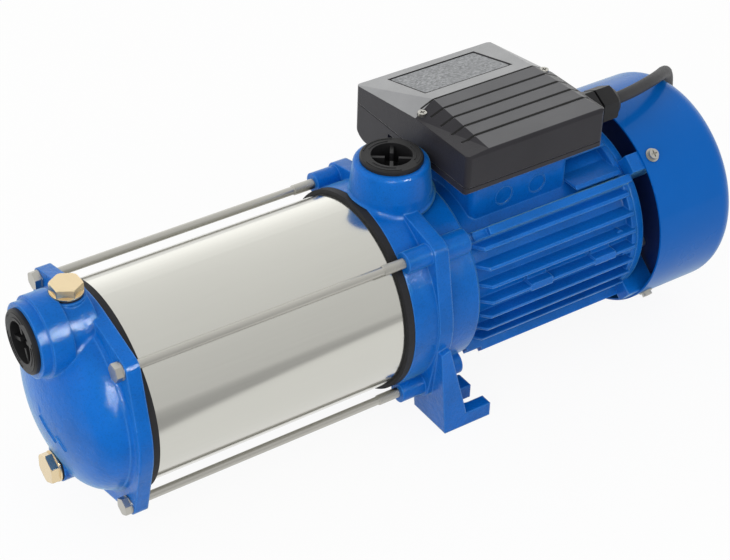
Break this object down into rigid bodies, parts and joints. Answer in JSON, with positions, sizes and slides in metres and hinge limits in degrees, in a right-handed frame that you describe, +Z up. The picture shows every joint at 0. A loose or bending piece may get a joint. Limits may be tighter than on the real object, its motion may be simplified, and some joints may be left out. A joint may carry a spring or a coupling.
{
  "type": "horizontal multistage pump",
  "caption": "Horizontal multistage centrifugal water pump: steel barrel held by tie bolts between cast ends, finned electric motor, terminal box and fan cover.",
  "frame": {"origin": "on the surface that the feet stand on, straight below the axis of the upright discharge port", "axes": "+X along the shaft from the suction port to the fan, +Z up, +Y to the side away from the cable gland"},
  "size_m": [0.5122, 0.3138, 0.1873],
  "materials": {
    "blue_paint": "satin blue paint on cast iron and aluminium",
    "cover_paint": "smooth satin blue paint on pressed sheet",
    "barrel_steel": "rolled stainless sheet, fine lengthwise grain",
    "bolt_zinc": "bright zinc plating",
    "black_rubber": "moulded black rubber",
    "black_plastic": "moulded black plastic",
    "box_plastic": "grained dark grey moulded plastic",
    "brass": "machined brass",
    "stage_plastic": "glass filled black plastic",
    "shaft_steel": "ground stainless steel",
    "bearing_steel": "polished bearing steel",
    "core_steel": "stacked electrical steel",
    "copper_windings": "enamelled copper under varnish",
    "seal_ceramic": "polished ceramic",
    "seal_carbon": "carbon and rubber",
    "cable_sheath": "black rubber sheath",
    "capacitor_can": "smooth light plastic",
    "terminal_plastic": "light moulded plastic"
  },
  "bodies": {
    "casing": {"suction_cover": "blue_paint", "discharge_bracket": "blue_paint", "motor_frame": "blue_paint", "end_shield": "blue_paint", "fan_cover": "cover_paint", "front_barrel_seal": "black_rubber", "rear_barrel_seal": "black_rubber", "pump_barrel": "barrel_steel", "tie_bolts": "bolt_zinc", "frame_screws": "bolt_zinc", "shield_screws": "bolt_zinc", "fan_cover_screws": "bolt_zinc", "terminal_box_screws": "bolt_zinc", "inlet_plate": "shaft_steel", "wave_spring": "shaft_steel", "seal_seat": "seal_ceramic", "front_bearing_outer": "bearing_steel", "rear_bearing_outer": "bearing_steel", "stator_core": "core_steel", "stator_windings": "copper_windings", "terminal_box_base": "box_plastic", "terminal_box_lid": "box_plastic", "terminal_box_gasket": "black_rubber", "capacitor": "capacitor_can", "terminal_block": "terminal_plastic", "cable_gland": "black_plastic", "gland_nut": "black_plastic", "power_cable": "cable_sheath", "cable_coil": "cable_sheath", "mains_plug": "black_plastic", "stage_casing_1": "stage_plastic", "stage_casing_2": "stage_plastic", "stage_casing_3": "stage_plastic", "stage_casing_4": "stage_plastic", "stage_casing_5": "stage_plastic"},
    "rotor": {"shaft": "shaft_steel", "impeller_spacers": "shaft_steel", "impeller_nut": "shaft_steel", "seal_rotary": "seal_carbon", "seal_spring": "shaft_steel", "water_slinger": "black_rubber", "front_bearing_inner": "bearing_steel", "rear_bearing_inner": "bearing_steel", "rotor_core": "core_steel", "fan": "black_plastic", "impeller_1": "stage_plastic", "impeller_2": "stage_plastic", "impeller_3": "stage_plastic", "impeller_4": "stage_plastic", "impeller_5": "stage_plastic"},
    "front_balls": {"front_bearing_balls": "bearing_steel"},
    "rear_balls": {"rear_bearing_balls": "bearing_steel"},
    "suction_cap": {"suction_plug": "black_plastic"},
    "discharge_cap": {"discharge_plug": "black_plastic"},
    "priming_screw": {"priming_plug": "brass", "priming_plug_washer": "black_rubber"},
    "drain_screw": {"drain_plug": "brass", "drain_plug_washer": "black_rubber"}
  },
  "joints": [
    {"name": "shaft_spin", "type": "hinge", "parent": "casing", "child": "rotor", "pos_m": [0, 0, 0.08], "axis": [1, 0, 0], "continuous": true},
    {"name": "front_balls_spin", "type": "hinge", "parent": "casing", "child": "front_balls", "pos_m": [0, 0, 0.08], "axis": [1, 0, 0], "continuous": true},
    {"name": "rear_balls_spin", "type": "hinge", "parent": "casing", "child": "rear_balls", "pos_m": [0, 0, 0.08], "axis": [1, 0, 0], "continuous": true},
    {"name": "suction_plug_out", "type": "slide", "parent": "casing", "child": "suction_cap", "axis": [-1, 0, 0], "range_m": [0, 0.016]},
    {"name": "discharge_plug_out", "type": "slide", "parent": "casing", "child": "discharge_cap", "axis": [0, 0, 1], "range_m": [0, 0.016]},
    {"name": "priming_plug_out", "type": "slide", "parent": "casing", "child": "priming_screw", "axis": [0, 0, 1], "range_m": [0, 0.012]},
    {"name": "drain_plug_out", "type": "slide", "parent": "casing", "child": "drain_screw", "axis": [-1, 0, 0], "range_m": [0, 0.012]}
  ],
  "couplings": [
    {"joint": "front_balls_spin", "follows": "shaft_spin", "ratio": 0.3807},
    {"joint": "rear_balls_spin", "follows": "shaft_spin", "ratio": 0.38}
  ]
}
